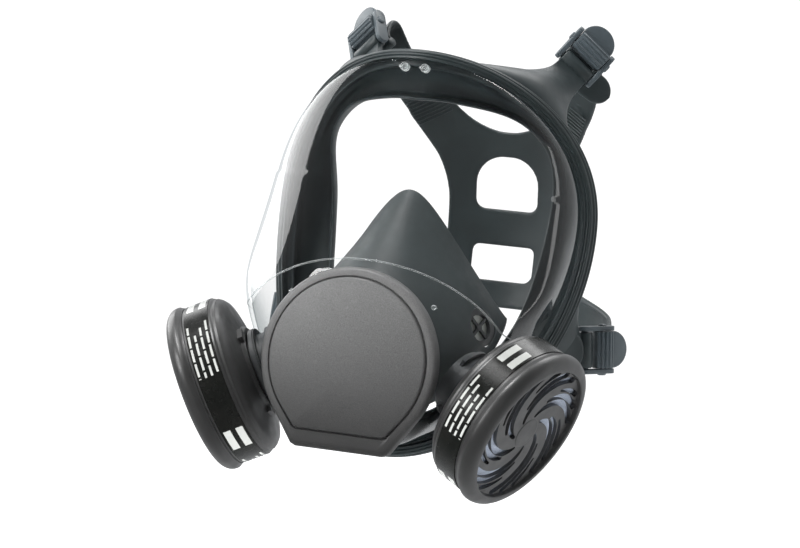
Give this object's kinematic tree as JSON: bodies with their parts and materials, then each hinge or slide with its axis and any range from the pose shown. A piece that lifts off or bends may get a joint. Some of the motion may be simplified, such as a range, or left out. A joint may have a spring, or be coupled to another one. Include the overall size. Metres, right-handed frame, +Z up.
{
  "type": "full face respirator",
  "caption": "Full face respirator with a wide clear lens in a rubber face seal, a nose cup, a front valve cover, twin bayonet cartridges and a rubber head harness.",
  "frame": {"origin": "the middle of the space that the wearer's face fills, on the mirror plane, just above the tip of the nose", "axes": "+Z up as worn, the mask looks along -Y, +X towards the right of someone who faces the mask"},
  "size_m": [0.2098, 0.2358, 0.2418],
  "materials": {
    "lens": "clear moulded polycarbonate, glossy",
    "rubber": "satin moulded thermoplastic rubber",
    "cover": "fine moulded texture",
    "charcoal": "satin moulded plastic",
    "cartridge": "satin moulded plastic",
    "label": "glossy printed film, print left out",
    "gasket": "matt rubber",
    "valve": "translucent silicone",
    "sorbent": "packed carbon granules",
    "filter": "pale blue-white filter felt",
    "buckle": "satin moulded plastic",
    "steel": "plain steel pins"
  },
  "bodies": {
    "mask": {"lens": "lens", "face_seal": "rubber", "nose_cup": "rubber", "front_housing": "charcoal", "housing_gasket": "gasket", "housing_ring": "charcoal", "exhalation_seat": "charcoal", "harness": "rubber", "lever_pins": "steel", "port_left": "charcoal", "port_right": "charcoal", "port_gasket_left": "gasket", "port_gasket_right": "gasket", "cup_valve_seat_left": "charcoal", "cup_valve_seat_right": "charcoal", "buckle_frame_top_left": "buckle", "buckle_frame_top_right": "buckle", "buckle_frame_low_left": "buckle", "buckle_frame_low_right": "buckle"},
    "cover": {"front_cover": "cover"},
    "exhalation_valve": {"exhalation_flap": "valve"},
    "left_inhalation_valve": {"inhalation_flap_left": "valve"},
    "right_inhalation_valve": {"inhalation_flap_right": "valve"},
    "left_cup_valve": {"cup_valve_flap_left": "valve"},
    "right_cup_valve": {"cup_valve_flap_right": "valve"},
    "left_cartridge": {"cartridge_body_left": "cartridge", "cartridge_cap_left": "cartridge", "cartridge_label_left": "label", "sorbent_bed_left": "sorbent", "filter_pad_left": "filter", "cartridge_seal_left": "gasket"},
    "right_cartridge": {"cartridge_body_right": "cartridge", "cartridge_cap_right": "cartridge", "cartridge_label_right": "label", "sorbent_bed_right": "sorbent", "filter_pad_right": "filter", "cartridge_seal_right": "gasket"},
    "top_left_lever": {"buckle_lever_top_left": "buckle"},
    "top_right_lever": {"buckle_lever_top_right": "buckle"},
    "low_left_lever": {"buckle_lever_low_left": "buckle"},
    "low_right_lever": {"buckle_lever_low_right": "buckle"}
  },
  "joints": [
    {"name": "cover_pull", "type": "slide", "parent": "mask", "child": "cover", "axis": [0, -1, 0], "range_m": [0, 0.025]},
    {"name": "left_cartridge_twist", "type": "hinge", "parent": "mask", "child": "left_cartridge", "pos_m": [-0.0528, -0.0264, -0.0515], "axis": [-0.8731, -0.1776, -0.454], "range_deg": [-30, 0]},
    {"name": "left_inhalation_lift", "type": "slide", "parent": "mask", "child": "left_inhalation_valve", "axis": [0.8731, 0.1776, 0.454], "range_m": [0, 0.0015], "stiffness_N_per_m": 15},
    {"name": "left_cup_valve_lift", "type": "slide", "parent": "mask", "child": "left_cup_valve", "axis": [0.8637, 0.4592, -0.2079], "range_m": [0, 0.0015], "stiffness_N_per_m": 10},
    {"name": "right_cartridge_twist", "type": "hinge", "parent": "mask", "child": "right_cartridge", "pos_m": [0.0528, -0.0264, -0.0515], "axis": [0.8731, -0.1776, -0.454], "range_deg": [-30, 0]},
    {"name": "right_inhalation_lift", "type": "slide", "parent": "mask", "child": "right_inhalation_valve", "axis": [-0.8731, 0.1776, 0.454], "range_m": [0, 0.0015], "stiffness_N_per_m": 15},
    {"name": "right_cup_valve_lift", "type": "slide", "parent": "mask", "child": "right_cup_valve", "axis": [-0.8637, 0.4592, -0.2079], "range_m": [0, 0.0015], "stiffness_N_per_m": 10},
    {"name": "exhalation_lift", "type": "slide", "parent": "mask", "child": "exhalation_valve", "axis": [0, -1, 0], "range_m": [0, 0.0015], "stiffness_N_per_m": 25},
    {"name": "top_left_lever_turn", "type": "hinge", "parent": "mask", "child": "top_left_lever", "pos_m": [-0.0609, 0.07538, 0.12312], "axis": [0.7119, -0.3509, 0.6083], "range_deg": [0, 40]},
    {"name": "top_right_lever_turn", "type": "hinge", "parent": "mask", "child": "top_right_lever", "pos_m": [0.0609, 0.07538, 0.12312], "axis": [0.7119, 0.3509, -0.6083], "range_deg": [0, 40]},
    {"name": "low_left_lever_turn", "type": "hinge", "parent": "mask", "child": "low_left_lever", "pos_m": [-0.08738, 0.0679, -0.02633], "axis": [0.0862, -0.0686, 0.9939], "range_deg": [0, 40]},
    {"name": "low_right_lever_turn", "type": "hinge", "parent": "mask", "child": "low_right_lever", "pos_m": [0.08738, 0.0679, -0.02633], "axis": [0.0862, 0.0686, -0.9939], "range_deg": [0, 40]}
  ]
}
